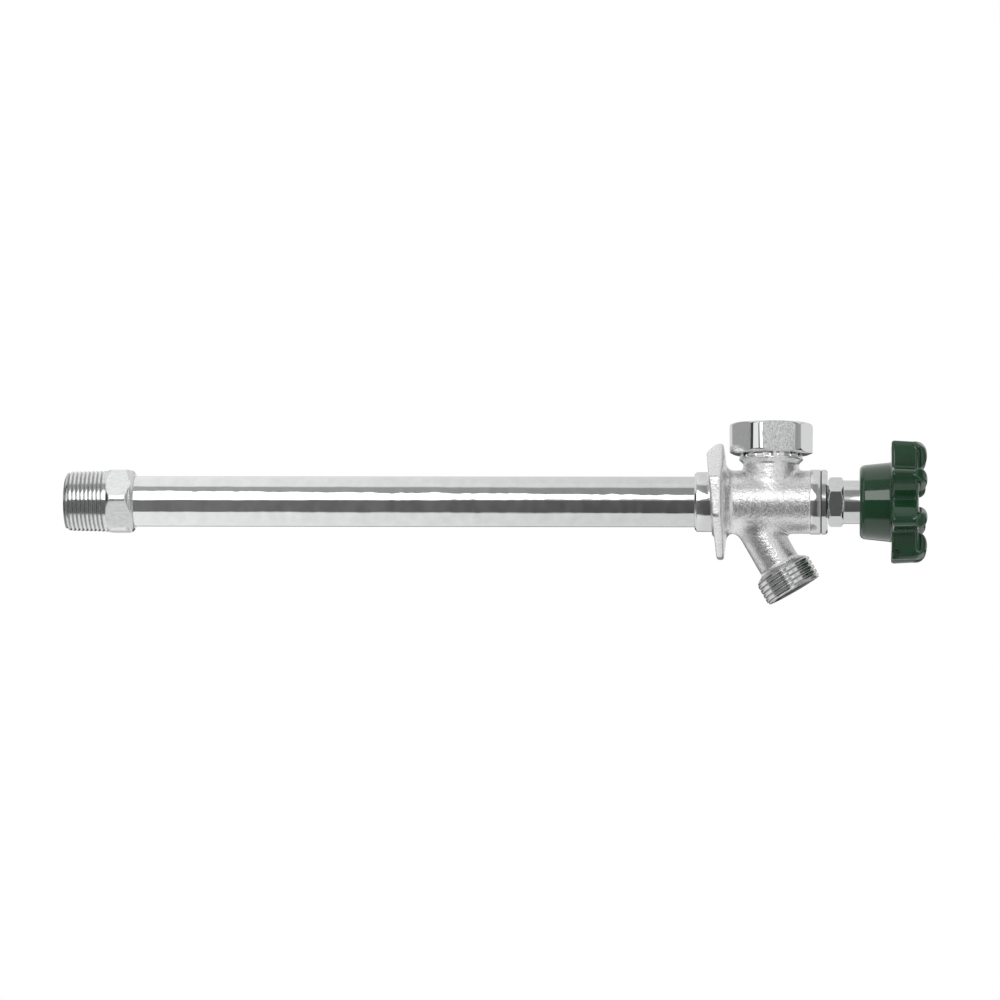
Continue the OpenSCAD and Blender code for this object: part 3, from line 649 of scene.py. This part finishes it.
def hexagon_plating(name, tint):
    """Plating over the inlet's hexagon: scored, dull facets, with bright turned ends and corners."""
    g = Surface(name)
    turns = [math.radians(60 * k) for k in range(3)]
    _, most = g.facets(g.place, [(0, math.sin(turn), math.cos(turn)) for turn in turns])
    on = g.ramp(g.times(most, 1 / (INLET_FLATS * MM)), (0.4955, 0.0), (0.4985, 1.0))
    score = g.noise(1500, 4, 0.7, (0.3, 1, 0.6))
    cloud = g.noise(260, 4, 0.65)
    dull = g.shaded(g.ramp(score, (0.35, 0.0), (0.65, 1.0)), tint, 0.8, 0.97)
    g.set(Metallic=g.mix(on, 1.0, 0.5), Base_Color=g.mix(on, tint, dull))
    turned_rough, facet_rough = ((0.3, 0.1), (0.7, 0.2)), ((0.3, 0.38), (0.7, 0.55))
    g.set(Roughness=g.mix(on, g.ramp(cloud, *turned_rough), g.ramp(cloud, *facet_rough)))
    g.bump(g.times(score, on), 0.00012, 0.7)
    return g.material


def plain_metal(name, tint, rough):
    """Machined or drawn metal with fine tool lines."""
    g = Surface(name)
    tool = g.noise(1200, 4, 0.6)
    g.set(Metallic=1.0, Base_Color=g.shaded(g.ramp(tool, (0.3, 1.0), (0.7, 0.0)), tint, 0.85))
    g.worn(tool, rough, 0.7, 1.4)
    g.bump(tool, 0.00006, 0.5)
    return g.material


def plain_solid(name, colour, rough):
    """Moulded rubber, fibre or plastic with a fine grain."""
    g = Surface(name)
    grain = g.noise(1600, 3, 0.6)
    g.set(Base_Color=g.shaded(grain, colour, 0.8), Roughness=rough)
    g.bump(grain, 0.00008, 0.4)
    return g.material


def finish_piece(piece, body, slot, material, *nodes):
    """Gives a finished piece its material and body, and hides the CAD nodes that it stands for. The slot is
    not used.
    """
    piece.data.materials.clear()
    piece.data.materials.append(material)
    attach(piece, body)
    if nodes:
        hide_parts(*nodes)


def dress(node, material):
    """Gives a carried-over CAD node a better material."""
    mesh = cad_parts[node].data
    mesh.materials.clear()
    mesh.materials.append(material)


# Settings


class SillcockLooks(bpy.types.PropertyGroup):
    """Colours and sizes that a user would change."""

    chrome_tint: FloatVectorProperty(
        name="Chrome tint", description="Colour of the polished plating",
        subtype="COLOR", size=3, min=0, max=1, default=(0.88, 0.885, 0.89),
    )
    cast_tint: FloatVectorProperty(
        name="Casting tint", description="Colour of the satin plating on the casting",
        subtype="COLOR", size=3, min=0, max=1, default=(0.985, 0.98, 0.98),
    )
    wheel_colour: FloatVectorProperty(
        name="Handwheel colour", description="Colour of the handwheel's dip coat",
        subtype="COLOR", size=3, min=0, max=1, default=(0.008, 0.038, 0.016),
    )
    casting_step: FloatProperty(
        name="Casting detail", description="Size of the casting's mesh squares",
        subtype="DISTANCE", unit="LENGTH", default=0.0005, min=0.0003, max=0.001,
    )


def looks():
    """The scene's own settings."""
    return bpy.context.scene.sillcock_looks


# Pieces


class SILLCOCK_OT_casting(bpy.types.Operator):
    """Makes the cast body with its blended neck, spout and wall flange"""

    bl_idname = "sillcock.casting"
    bl_label = "Casting"

    def execute(self, context):
        step = looks().casting_step / MM
        points, quads = surface_net(casting_field, (-4, -31, -38.5), (45, 31, 26), step)
        piece = mesh_object("casting", points, quads, 38)
        plating = cast_plating("cast plating", looks().cast_tint)
        finish_piece(piece, "root", "cast_plating", plating, "faucet_body")
        return {"FINISHED"}


class SILLCOCK_OT_machined_body(bpy.types.Operator):
    """Makes the body's turned parts: shank, collar, lip, teeth and hose thread"""

    bl_idname = "sillcock.machined_body"
    bl_label = "Turned parts of the body"

    def execute(self, context):
        chrome = polished_chrome("turned plating", looks().chrome_tint, 0.07)
        shank = [(-7.3, 11.2), (-7.3, 12.1), (-6.3, SHANK_R), (2.5, SHANK_R), (2.5, 11.2)]
        collar = [(43.3, 11.05), (43.3, 14.2), (47.9, 14.2), (47.9, 11.05)]
        lip = [(18.2, 10.2), (18.2, 13.7), (18.5, 14.0), (19.5, 14.0), (19.5, 12.3), (20.9, 12.3)]
        lip += [(20.9, 10.2)]
        for name, axis, outline, bends in (
            ("shank", "x", shank, 0.25),
            ("turned_collar", "x", collar, (0, 0.35, 0.3, 0)),
            ("lip", "neck", lip, (0, 0.2, 0.2, 0.25, 0, 0, 0)),
        ):
            finish_piece(turned(name, axis, rounded(outline, bends)), "root", "turned_plating", chrome)
        tint = tuple(looks().chrome_tint)
        self.hose_thread(thread_plating_painted_root_shade("hose thread plating", tint, "spout", HOSE_CREST_R, 0.0, HOSE_DEPTH))
        self.vent_teeth(chrome)
        return {"FINISHED"}

    def hose_thread(self, chrome):
        """Helix: the crest radius less a depth that follows (length / pitch - angle / turn)."""
        start, end, pitch, bevel_run, bevel_drop = 34.2, 44.8, 2.209, 0.8, 0.55

        def outer(along, angle):
            deep = HOSE_DEPTH * thread_wave((along - start) / pitch - angle / (2 * np.pi), 0.6)
            rise = np.clip(along - start, 0, 1)
            bevel = np.clip((along - end + bevel_run) / bevel_run, 0, 1)
            crest = HOSE_CREST_R - HOSE_DEPTH + (HOSE_DEPTH - deep) * rise
            return crest - bevel_drop * bevel * (1 - deep / HOSE_DEPTH)

        lining = [(end, 11.4), (end, 9.6), (end - 0.3, 9.1), (end - 0.9, 8.62), (end - 5, 8.6)]
        lining += [(end - 9, 8.6), (end - 9.05, 8.4), (end - 9.1, 6.55)]
        lining += [(start - 1.6, 6.55), (start - 1.6, 9.4), (start - 0.8, 10.9)]
        piece = threaded("hose_thread", "spout", start, end, pitch, outer, lining)
        finish_piece(piece, "root", "turned_plating", chrome)

    def vent_teeth(self, chrome):
        """Twelve blocks round the neck: each a box with its corners on two radii."""
        count, first_turn = 12, -70
        base = np.array([[r, w, h] for r in (11.9, 13.7) for w in (-1.45, 1.45) for h in (19.3, 20.9)])
        box = [(0, 1, 3, 2), (4, 6, 7, 5), (0, 4, 5, 1), (2, 3, 7, 6), (0, 2, 6, 4), (1, 5, 7, 3)]
        points, faces = [], []
        for i in range(count):
            turn = math.radians(360 / count * i + first_turn)
            x = base[:, 0] * math.cos(turn) - base[:, 1] * math.sin(turn) + NECK_X
            y = base[:, 0] * math.sin(turn) + base[:, 1] * math.cos(turn)
            points.append(np.stack([x, y, base[:, 2]], -1))
            faces += [[v + len(base) * i for v in face] for face in box]
        piece = mesh_object("vent_teeth", np.concatenate(points), faces)
        bevel = piece.modifiers.new("soft edges", "BEVEL")
        bevel.width = 0.00022
        bevel.segments = 2
        finish_piece(piece, "root", "turned_plating", chrome)


class SILLCOCK_OT_supply_tube(bpy.types.Operator):
    """Makes the long drawn tube"""

    bl_idname = "sillcock.supply_tube"
    bl_label = "Supply tube"

    def execute(self, context):
        start, end, bore_r = -261.8, 2.0, 9.95
        profile = fine([(start, bore_r), (start, TUBE_R), (end, TUBE_R), (end, bore_r)], 8.0)
        piece = turned("drawn_tube", "x", profile, 160)
        chrome = polished_chrome("tube plating", looks().chrome_tint, 0.03, (0.04, 1, 1))
        finish_piece(piece, "root", "tube_plating", chrome, "supply_tube")
        return {"FINISHED"}


class SILLCOCK_OT_inlet(bpy.types.Operator):
    """Makes the inlet's pipe thread, hexagon and collar"""

    bl_idname = "sillcock.inlet"
    bl_label = "Inlet fitting"

    def execute(self, context):
        tint = looks().chrome_tint
        crest = PIPE_CREST_R - PIPE_TAPER * INLET_X
        self.pipe_thread(thread_plating_painted_root_shade("pipe thread plating", tint, "x", crest, PIPE_TAPER, PIPE_DEPTH))
        self.hexagon(hexagon_plating("hexagon plating", tint))
        return {"FINISHED"}

    def pipe_thread(self, metal):
        """Helix on a cone of one in forty a side, with the socket and the seat inside."""
        start, end, pitch = INLET_X, -265.6, 1.814
        fade_run, bevel_run, bevel_drop = 1.2, 2.6, 1.15

        def outer(along, angle):
            crest = PIPE_CREST_R + PIPE_TAPER * (along - start)
            deep = PIPE_DEPTH * thread_wave((along - start) / pitch - angle / (2 * np.pi), 0.42)
            fade = np.clip((end - fade_run - along) / fade_run, 0, 1)
            bevel = np.clip((start + bevel_run - along) / bevel_run, 0, 1) ** 1.6
            return crest - deep * fade - bevel_drop * bevel

        lining = [(end, 12.0), (end, 6.0), (-272.3, 5.8), (-272.32, 7.9), (-272.3, 7.98), (-278.0, 7.98)]
        lining += [(start + 0.7, 7.98), (start + 0.1, 8.5), (start, 8.9), (start, 11.0)]
        piece = threaded("pipe_thread", "x", start, end, pitch, outer, lining)
        finish_piece(piece, "root", "fitting_plating", metal, "inlet_fitting")

    def hexagon(self, metal):
        """The lesser of a hexagon's radius and a turned profile, blended at their crossing."""
        outline = [(-266.2, 5.8), (-266.2, 13.6), (-264.5, 14.95), (-257.2, 14.95), (-256.2, 13.6)]
        outline += [(-255.4, 13.6), (-254.3, 12.3), (-254.3, 11.15), (-261.6, 11.15), (-261.9, 9.0)]
        outline += [(-264.2, 5.8)]
        profile = fine(rounded(outline, (0, 0.3, 0.5, 0.4, 0.3, 0.6, 0.4, 0, 0, 0, 0)), 0.35)

        def flats(along, radius, angle):
            hexed = np.where(along < -256.0, hexagon(angle, INLET_FLATS, 0.0, 0.3), 1e3)
            near = (radius > 12.9) & (along < -256.1)
            return np.where(near, -smooth_max(-radius, -hexed, 0.25), radius)

        piece = turned("inlet_hexagon", "x", profile, 192, 24, flats)
        finish_piece(piece, "root", "fitting_plating", metal)


class SILLCOCK_OT_breaker_cap(bpy.types.Operator):
    """Makes the vacuum breaker's polished hexagonal cap"""

    bl_idname = "sillcock.breaker_cap"
    bl_label = "Breaker cap"

    def execute(self, context):
        """The lesser of a rounded hexagon and a turned profile, closed above and hollow below."""
        outline = [(20.9, 13.05), (20.9, 16.4), (21.7, 18.4), (33.5, 18.55), (34.4, 17.3), (34.4, 14.3)]
        outline += [(33.5, 12.9), (33.5, 0.02), (31.7, 0.02), (31.7, 2.06), (22.3, 2.06), (22.3, 3.7)]
        outline += [(30.1, 3.7), (30.1, 6.3), (21.7, 6.3), (21.7, 7.5), (30.1, 7.5), (30.1, 12.85)]
        profile = fine(rounded(outline, (0, 0.35, 0.6, 0.7, 0.5, 0.4, 0.5) + (0,) * 11), 0.5)

        def flats(along, radius, angle):
            hexed = hexagon(angle, CAP_FLATS, CAP_TURN, 5.6)
            return np.where(radius > 13.1, -smooth_max(-radius, -hexed, 0.5), radius)

        piece = turned("polished_cap", "neck", profile, 192, 40, flats)
        chrome = forged_plating("cap plating", tuple(looks().chrome_tint))
        finish_piece(piece, "root", "cap_plating", chrome, "breaker_cap")
        return {"FINISHED"}


class SILLCOCK_OT_packing_nut(bpy.types.Operator):
    """Makes the packing nut with its round nose"""

    bl_idname = "sillcock.packing_nut"
    bl_label = "Packing nut"

    def execute(self, context):
        """The lesser of a hexagon's radius and a turned profile with turned-off corners."""
        outline = [(51.3, 7.55), (51.3, 9.6), (52.2, 11.0), (57.0, 11.0), (57.9, 9.5), (65.7, 9.5)]
        outline += [(66.5, 8.6), (66.5, 4.81), (64.7, 4.81), (64.7, 7.55)]
        profile = fine(rounded(outline, (0, 0.3, 0.3, 0.3, 0.2, 0.3, 0.3, 0, 0, 0)), 0.3)

        def flats(along, radius, angle):
            hexed = hexagon(angle, NUT_FLATS, NUT_TURN, 0.25)
            near = (along < 57.8) & (radius > 8.5)
            return np.where(near, -smooth_max(-radius, -hexed, 0.2), radius)

        piece = turned("nut", "x", profile, 144, 24, flats)
        chrome = polished_chrome("nut plating", tuple(c * 0.97 for c in looks().chrome_tint), 0.09)
        finish_piece(piece, "root", "turned_plating", chrome, "packing_nut")
        return {"FINISHED"}


class SILLCOCK_OT_handwheel(bpy.types.Operator):
    """Makes the dip coated handwheel with its eight fingers"""

    bl_idname = "sillcock.handwheel"
    bl_label = "Handwheel"

    def execute(self, context):
        step = looks().casting_step / MM * 0.9
        points, quads = surface_net(wheel_field, (64, -29.6, -29.6), (95.6, 29.6, 29.6), step)
        piece = mesh_object("coated_wheel", points, quads, 180)
        slope = gradient(wheel_field, points)
        piece.data.normals_split_custom_set_from_vertices(slope / np.linalg.norm(slope, axis=1)[:, None])
        coat = dip_coat("dip coat", looks().wheel_colour)
        finish_piece(piece, "spindle", "wheel_enamel", coat, "handwheel")
        return {"FINISHED"}


class SILLCOCK_OT_carried_nodes(bpy.types.Operator):
    """Gives the CAD pieces that stay their finishes"""

    bl_idname = "sillcock.carried_nodes"
    bl_label = "Finishes of the other pieces"

    def execute(self, context):
        tint = looks().chrome_tint
        dress("bonnet", polished_chrome("bonnet plating", tint, 0.08))
        brass = plain_metal("machined brass", (0.66, 0.47, 0.2), 0.25)
        for node in ("stem", "rod", "washer_holder", "washer_screw", "packing_washer"):
            dress(node, brass)
        steel = plain_metal("brushed steel", (0.72, 0.72, 0.73), 0.3)
        for node in ("stem_pin", "handle_washer", "handle_screw"):
            dress(node, steel)
        rubber = plain_solid("black rubber", (0.02, 0.02, 0.021), 0.6)
        for node in ("seat_washer", "stem_rings", "float_seal", "packing"):
            dress(node, rubber)
        fibre = plain_solid("gasket fibre", (0.05, 0.045, 0.045), 0.8)
        for node in ("bonnet_gasket", "cap_gasket"):
            dress(node, fibre)
        plastic = plain_solid("moulded plastic", (0.7, 0.68, 0.62), 0.45)
        for node in ("breaker_float", "breaker_seat", "rod_guide_rings"):
            dress(node, plastic)
        return {"FINISHED"}


# Stage


class Studio(Graph):
    """The light round the object, as a shade for each direction.

    across, away and lift are the direction's X, Y and Z, and turn is its bearing from the
    camera. Each is a place from 0 to 1 on a ramp.
    """

    def __init__(self, tree):
        super().__init__(tree)
        coord, split = self.add("ShaderNodeTexCoord"), self.add("ShaderNodeSeparateXYZ")
        self.link(coord.outputs["Generated"], split.inputs["Vector"])
        x, y, self.z = split.outputs
        self.across = self.centred(x, 0.5)
        self.away = self.centred(y, 0.5)
        self.lift = self.centred(self.z, 0.5)
        self.turn = self.centred(self.math("ARCTAN2", x, self.times(y, -1.0)), 0.5 / math.pi)

    def centred(self, value, scale):
        """A value about 0 as a place about the middle of a ramp."""
        return self.math("MULTIPLY_ADD", value, scale, 0.5)

    def by_height(self, *stops):
        """A ramp over heights, in degrees above the level."""
        places = ((0.5 + 0.5 * math.sin(math.radians(degrees)), shade) for degrees, shade in stops)
        return self.ramp(self.lift, *places)

    def by_bearing(self, *stops):
        """A ramp over bearings, in degrees to the right of the camera."""
        return self.ramp(self.turn, *((0.5 + degrees / 360, shade) for degrees, shade in stops))

    def column(self, side):
        """The dark column about the camera, in two sides by height, with a white band across it."""
        right = self.by_height(
            (-90, 0.68), (-60.5, 0.68), (-57.5, 0.08), (-1, 0.1),
            (1, 0.28), (60, 0.28), (65.5, 0.68), (90, 0.74),
        )
        left = self.by_height(
            (-90, 0.9), (-55.5, 0.9), (-52.5, 0.18), (0, 0.18),
            (1, 0.4), (65, 0.4), (67, 0.88), (90, 0.9),
        )
        top = self.ramp(
            self.across,
            (0.405, 0.5), (0.4275, 0.695), (0.44, 0.695), (0.487, 0.454), (0.498, 0.42), (0.503, 0.33),
        )
        bottom = self.ramp(self.across, (0.44, 0.03), (0.46, 0.03), (0.48, 0.1), (0.498, 0.13), (0.503, 0.19))
        sharpness = 60.0
        below = self.math("MULTIPLY", self.math("SUBTRACT", top, self.z), sharpness, clamp=True)
        above = self.math("MULTIPLY", self.math("SUBTRACT", self.z, bottom), sharpness, clamp=True)
        band = self.times(self.times(below, above), self.ramp(self.across, (0.504, 1.0), (0.506, 0.0)))
        bright = self.ramp(self.across, (0.36, 0.0), (0.37, 1.0), (0.412, 1.0), (0.422, 0.0))
        strength = self.math("MULTIPLY_ADD", bright, 1.4, 1.9)
        return self.mix(band, self.mix(side, right, left), strength)

    def round_about(self):
        """The shade by bearing, and by height behind the object, with two dim corners."""
        shade = self.by_bearing(
            (-180, 0.7), (-125, 0.5), (-98, 0.38), (-93, 0.05), (-66, 0.05), (-61, 0.85),
            (-32, 0.9), (-27, 0.04), (-9, 0.05), (0, 0.7), (18, 0.9), (24, 0.5),
            (45, 0.8), (62, 0.3), (95, 0.35), (130, 0.68), (180, 0.7),
        )
        rear = self.by_height(
            (-24, 0.7), (-21, 0.07), (-2, 0.1), (0, 0.78),
            (13, 0.72), (16, 0.25), (22, 0.3), (25, 0.7),
        )
        shade = self.mix(self.ramp(self.away, (0.62, 0.0), (0.68, 1.0)), shade, rear)
        low = self.ramp(self.lift, (0.46, 1.0), (0.49, 0.0))
        left = self.ramp(self.across, (0.3, 1.0), (0.33, 0.0))
        high = self.ramp(self.lift, (0.66, 0.0), (0.7, 1.0))
        right = self.ramp(self.across, (0.8, 0.0), (0.84, 1.0))
        return self.mix(self.times(low, left), self.mix(self.times(high, right), shade, 0.1), 0.2)

    def gloss(self):
        """In front, the column with a shadow beside it. Elsewhere, the shade by bearing.

        Low directions turn pale, and behind the object every steep one does.
        """
        side = self.ramp(self.across, (0.405, 0.3), (0.4275, 1.0), (0.44, 1.0), (0.487, 0.0))
        before = self.ramp(self.away, (0.62, 1.0), (0.68, 0.0))
        narrow = self.ramp(self.across, (0.31, 0.0), (0.34, 1.0), (0.535, 1.0), (0.55, 0.0))
        front = self.mix(self.times(narrow, before), self.round_about(), self.column(side))
        strip = self.ramp(self.across, (0.541, 0.0), (0.549, 1.0), (0.574, 1.0), (0.582, 0.0))
        shadow = self.by_height((-62, 0.68), (-58, 0.16), (44, 0.24), (56, 0.7), (80, 0.62))
        front = self.mix(self.times(strip, before), front, shadow)
        pale = self.mix(side, 0.68, 0.9)
        front = self.mix(self.by_height((-63, 1.0), (-58, 0.0)), front, pale)
        steep = self.ramp(self.math("ABSOLUTE", self.z), (0.25, 0.0), (0.4, 1.0))
        behind = self.times(self.ramp(self.away, (0.42, 0.0), (0.5, 1.0)), steep)
        return self.mix(behind, front, pale)


class SILLCOCK_OT_stage(bpy.types.Operator):
    """Sets the camera, the pale floor, the lamps and the studio's light"""

    bl_idname = "sillcock.stage"
    bl_label = "Stage"

    def execute(self, context):
        scene = context.scene
        scene.view_settings.view_transform = "Standard"
        self.camera(scene)
        self.floor()
        self.world(scene)
        self.lamp("key", (-0.4, -1.2, 1.6), (0.0, 0, 0), (1.6, 1.6), 14.0)
        self.lamp("fill", (0.9, -1.0, -0.2), (0.0, 0, 0), (1.2, 1.2), 3.0)
        self.lamp("softbox", (-0.44, -1.0, 0.606), (-0.44, 0, 0.606), (1.0, 0.79), 2.7)
        return {"FINISHED"}

    def camera(self, scene):
        """A long lens in front of the object, a little low and to the right, with a slight roll."""
        spot, aim = Vector((0.0477, -2.441, -0.2135)), Vector((-0.093, 0, 0.00077))
        roll = Quaternion((0, 0, 1), math.radians(0.36))
        data = bpy.data.cameras.new("camera")
        data.lens = 200.7
        data.sensor_width = 36
        data.clip_end = 50
        camera = bpy.data.objects.new("camera", data)
        scene.collection.objects.link(camera)
        camera.location = spot
        camera.rotation_euler = ((aim - spot).to_track_quat("-Z", "Y") @ roll).to_euler()
        scene.camera = camera

    def floor(self):
        """A pale floor far below, which lights the object from under it and isn't seen."""
        far, level = 6000, -420
        corners = [(-far, -far, level), (far, -far, level), (far, far, level), (-far, far, level)]
        floor = mesh_object("floor", corners, [(0, 1, 2, 3)])
        paint = Surface("pale floor")
        paint.set(Base_Color=(0.86, 0.86, 0.86), Roughness=0.8, Specular_IOR_Level=0.0)
        floor.data.materials.append(paint.material)
        floor.visible_glossy = False
        floor.visible_camera = False

    def lamp(self, name, spot, aim, size, power):
        """A rectangular lamp at a spot, turned to an aim, which no mirror shows."""
        data = bpy.data.lights.new(name, "AREA")
        data.shape = "RECTANGLE"
        data.size, data.size_y = size
        data.energy = power
        lamp = bpy.data.objects.new(name, data)
        bpy.context.scene.collection.objects.link(lamp)
        lamp.location = spot
        lamp.rotation_euler = (Vector(aim) - Vector(spot)).to_track_quat("-Z", "Y").to_euler()
        lamp.visible_camera = False
        lamp.visible_glossy = False

    def world(self, scene):
        """White for the camera, level for diffuse rays, and the studio for gloss."""
        world = bpy.data.worlds.new("studio")
        scene.world = world
        world.use_nodes = True
        studio = Studio(world.node_tree)
        output, shader = studio.add("ShaderNodeOutputWorld"), studio.add("ShaderNodeBackground")
        studio.link(shader.outputs["Background"], output.inputs["Surface"])
        path = studio.add("ShaderNodeLightPath")
        level = studio.mix(path.outputs["Is Glossy Ray"], 0.8, studio.gloss())
        studio.link(studio.mix(path.outputs["Is Camera Ray"], level, 1.0), shader.inputs["Color"])


# Panel and registration


class SILLCOCK_PT_sidebar(bpy.types.Panel):
    """Lists the sillcock's sizes, colours and pieces"""

    bl_idname = "SILLCOCK_PT_sidebar"
    bl_label = "Sillcock"
    bl_space_type = "VIEW_3D"
    bl_region_type = "UI"
    bl_category = "Sillcock"

    def draw(self, context):
        for name in SillcockLooks.__annotations__:
            self.layout.prop(context.scene.sillcock_looks, name)
        for operator in PIECES:
            self.layout.operator(operator.bl_idname)


PIECES = (
    SILLCOCK_OT_stage,
    SILLCOCK_OT_casting,
    SILLCOCK_OT_machined_body,
    SILLCOCK_OT_supply_tube,
    SILLCOCK_OT_inlet,
    SILLCOCK_OT_breaker_cap,
    SILLCOCK_OT_packing_nut,
    SILLCOCK_OT_handwheel,
    SILLCOCK_OT_carried_nodes,
)
CLASSES = (SillcockLooks, *PIECES, SILLCOCK_PT_sidebar)


def register():
    for cls in CLASSES:
        bpy.utils.register_class(cls)
    bpy.types.Scene.sillcock_looks = PointerProperty(type=SillcockLooks)


def unregister():
    del bpy.types.Scene.sillcock_looks
    for cls in reversed(CLASSES):
        bpy.utils.unregister_class(cls)


def main():
    register()
    bpy.ops.sillcock.stage()
    bpy.ops.sillcock.casting()
    bpy.ops.sillcock.machined_body()
    bpy.ops.sillcock.supply_tube()
    bpy.ops.sillcock.inlet()
    bpy.ops.sillcock.breaker_cap()
    bpy.ops.sillcock.packing_nut()
    bpy.ops.sillcock.handwheel()
    bpy.ops.sillcock.carried_nodes()
    bpy.context.view_layer.update()


if __name__ == "__main__":
    main()
